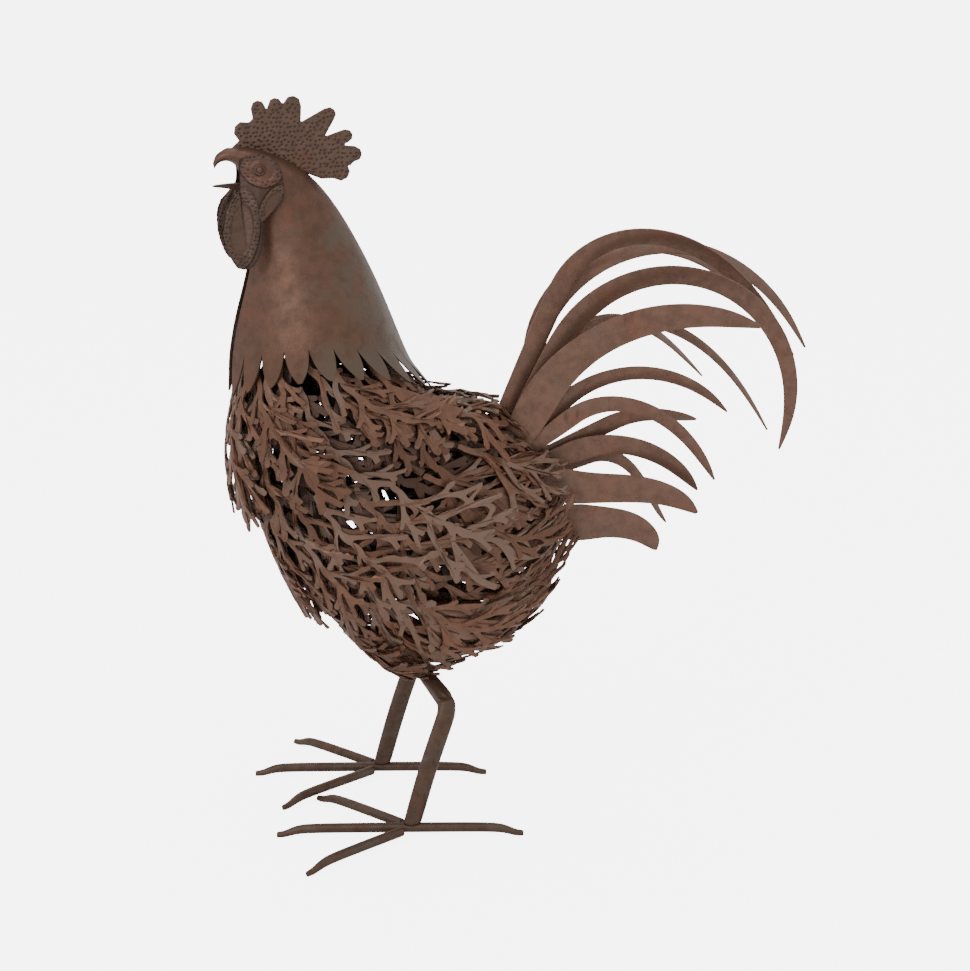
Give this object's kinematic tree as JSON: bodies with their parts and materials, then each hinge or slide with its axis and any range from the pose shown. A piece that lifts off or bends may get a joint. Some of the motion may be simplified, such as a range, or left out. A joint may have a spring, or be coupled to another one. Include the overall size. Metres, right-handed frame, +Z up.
{
  "type": "scrap metal rooster sculpture",
  "caption": "Standing rooster of rust-brown sheet steel: slit cape, branching cut-out body plates, curved strip tail and rod legs.",
  "frame": {"origin": "on the ground, below the middle of the figure's bounding box", "axes": "+Z up, the rooster looks along -X, its left side is toward -Y"},
  "size_m": [0.5808, 0.306, 0.6809],
  "materials": {
    "cape_steel": "satin rust-brown patina with grey streaks",
    "comb_steel": "satin red-brown patina, embossed",
    "plate_steel": "satin rust-brown patina, dark edges",
    "tail_steel": "satin rust-brown patina, dark edges",
    "leg_steel": "satin dark brown patina",
    "dark_steel": "dark, almost black patina"
  },
  "bodies": {
    "root": {"neck_cape_left": "cape_steel", "neck_cape_right": "cape_steel", "lower_beak": "dark_steel", "comb": "comb_steel", "face_plate_left": "comb_steel", "face_plate_right": "comb_steel", "frame_rod": "dark_steel", "body_plate_left_1": "plate_steel", "body_plate_left_2": "plate_steel", "body_plate_left_3": "plate_steel", "body_plate_left_4": "plate_steel", "body_plate_left_5": "plate_steel", "body_plate_left_6": "plate_steel", "body_plate_left_7": "plate_steel", "body_plate_left_8": "plate_steel", "body_plate_left_9": "plate_steel", "body_plate_left_10": "plate_steel", "body_plate_left_11": "plate_steel", "body_plate_left_12": "plate_steel", "body_plate_left_13": "plate_steel", "body_plate_left_14": "plate_steel", "body_plate_right_1": "plate_steel", "body_plate_right_2": "plate_steel", "body_plate_right_3": "plate_steel", "body_plate_right_4": "plate_steel", "body_plate_right_5": "plate_steel", "body_plate_right_6": "plate_steel", "body_plate_right_7": "plate_steel", "body_plate_right_8": "plate_steel", "body_plate_right_9": "plate_steel", "body_plate_right_10": "plate_steel", "body_plate_right_11": "plate_steel", "body_plate_right_12": "plate_steel", "body_plate_right_13": "plate_steel", "body_plate_right_14": "plate_steel", "tail_sickle_left_1": "tail_steel", "tail_sickle_left_2": "tail_steel", "tail_broad_left_1": "tail_steel", "tail_short_left_1": "tail_steel", "tail_short_left_2": "tail_steel", "tail_short_left_3": "tail_steel", "tail_short_left_4": "tail_steel", "tail_broad_left_2": "tail_steel", "tail_broad_left_3": "tail_steel", "tail_sickle_right_1": "tail_steel", "tail_sickle_right_2": "tail_steel", "tail_broad_right_1": "tail_steel", "tail_broad_right_2": "tail_steel", "tail_short_right_1": "tail_steel", "leg_left": "leg_steel", "long_toe_left": "leg_steel", "outer_toe_left": "leg_steel", "inner_toe_left": "leg_steel", "leg_right": "leg_steel", "long_toe_right": "leg_steel", "outer_toe_right": "leg_steel", "inner_toe_right": "leg_steel"}
  },
  "joints": []
}
